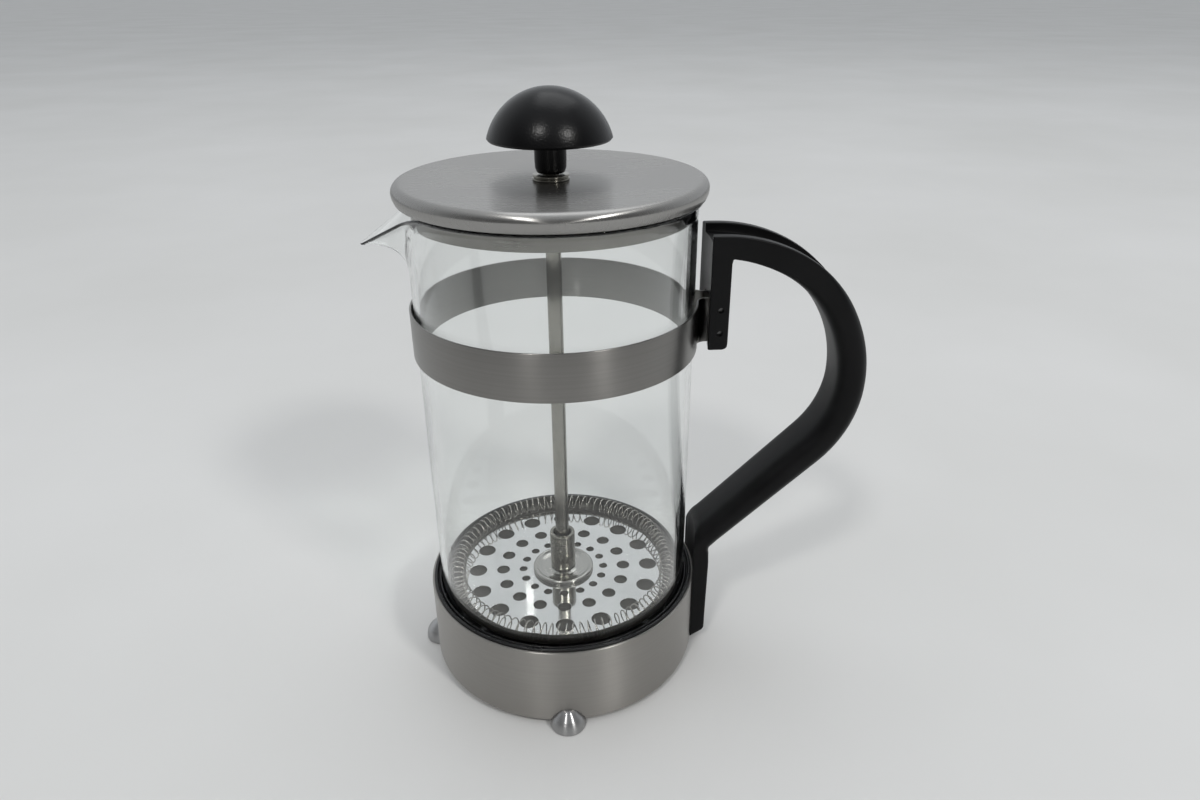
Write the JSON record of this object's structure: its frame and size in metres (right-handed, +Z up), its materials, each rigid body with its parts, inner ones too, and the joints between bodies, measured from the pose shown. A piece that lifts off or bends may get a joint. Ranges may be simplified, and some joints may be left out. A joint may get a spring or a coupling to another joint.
{
  "type": "french press",
  "caption": "French press coffee maker: glass beaker in a steel-banded stand with a black handle, domed-knob plunger, steel lid and sprung mesh filter.",
  "frame": {"origin": "on the beaker's vertical axis at table level, under the middle of the base", "axes": "+Z up along the beaker and plunger, +X to the handle, -X to the spout, +Y to the back as the camera sees it"},
  "size_m": [0.1787, 0.1178, 0.2212],
  "materials": {
    "brushed_steel": "satin brushed stainless steel, fine circular and horizontal grain",
    "foot_steel": "spun stainless steel cone with a rounded flank, satin with a bright streak",
    "polished_steel": "polished stainless steel",
    "collar_steel": "turned stainless steel, dull",
    "wire_steel": "drawn stainless steel spring wire",
    "wire_mesh": "fine woven stainless steel wire cloth",
    "fastener_steel": "plain steel pins, screw and nuts",
    "insert_brass": "machined brass, hidden inside the knob",
    "handle_plastic": "moulded black polypropylene, smooth, semi-gloss",
    "grained_plastic": "moulded black plastic with a fine grain",
    "black_plastic": "moulded black plastic liner",
    "clear_glass": "clear borosilicate glass"
  },
  "bodies": {
    "stand": {"base_cup": "brushed_steel", "base_liner": "black_plastic", "foot_right": "foot_steel", "foot_back": "foot_steel", "foot_left": "foot_steel", "foot_front": "foot_steel", "upper_band": "brushed_steel", "handle": "handle_plastic", "handle_pins": "fastener_steel", "tab_screw": "fastener_steel", "tab_nut": "fastener_steel"},
    "beaker": {"glass_beaker": "clear_glass"},
    "lid": {"lid_cap": "brushed_steel", "lid_skirt": "polished_steel"},
    "collar": {"lid_collar": "collar_steel", "collar_nut": "fastener_steel"},
    "plunger": {"knob": "grained_plastic", "knob_insert": "insert_brass", "plunger_rod": "polished_steel", "rod_ferrule": "collar_steel", "hub_boss": "polished_steel", "filter_plate": "polished_steel", "filter_spring": "wire_steel", "mesh_screen": "wire_mesh", "cross_plate": "polished_steel", "bottom_nut": "fastener_steel"}
  },
  "joints": [
    {"name": "beaker_lift", "type": "slide", "parent": "stand", "child": "beaker", "axis": [0, 0, 1], "range_m": [0, 0.16]},
    {"name": "lid_lift", "type": "slide", "parent": "beaker", "child": "lid", "axis": [0, 0, 1], "range_m": [0, 0.175]},
    {"name": "plunger_turn", "type": "hinge", "parent": "lid", "child": "collar", "pos_m": [0, 0, 0.192], "axis": [0, 0, 1], "continuous": true},
    {"name": "plunger_slide", "type": "slide", "parent": "collar", "child": "plunger", "axis": [0, 0, 1], "range_m": [0, 0.134]}
  ]
}
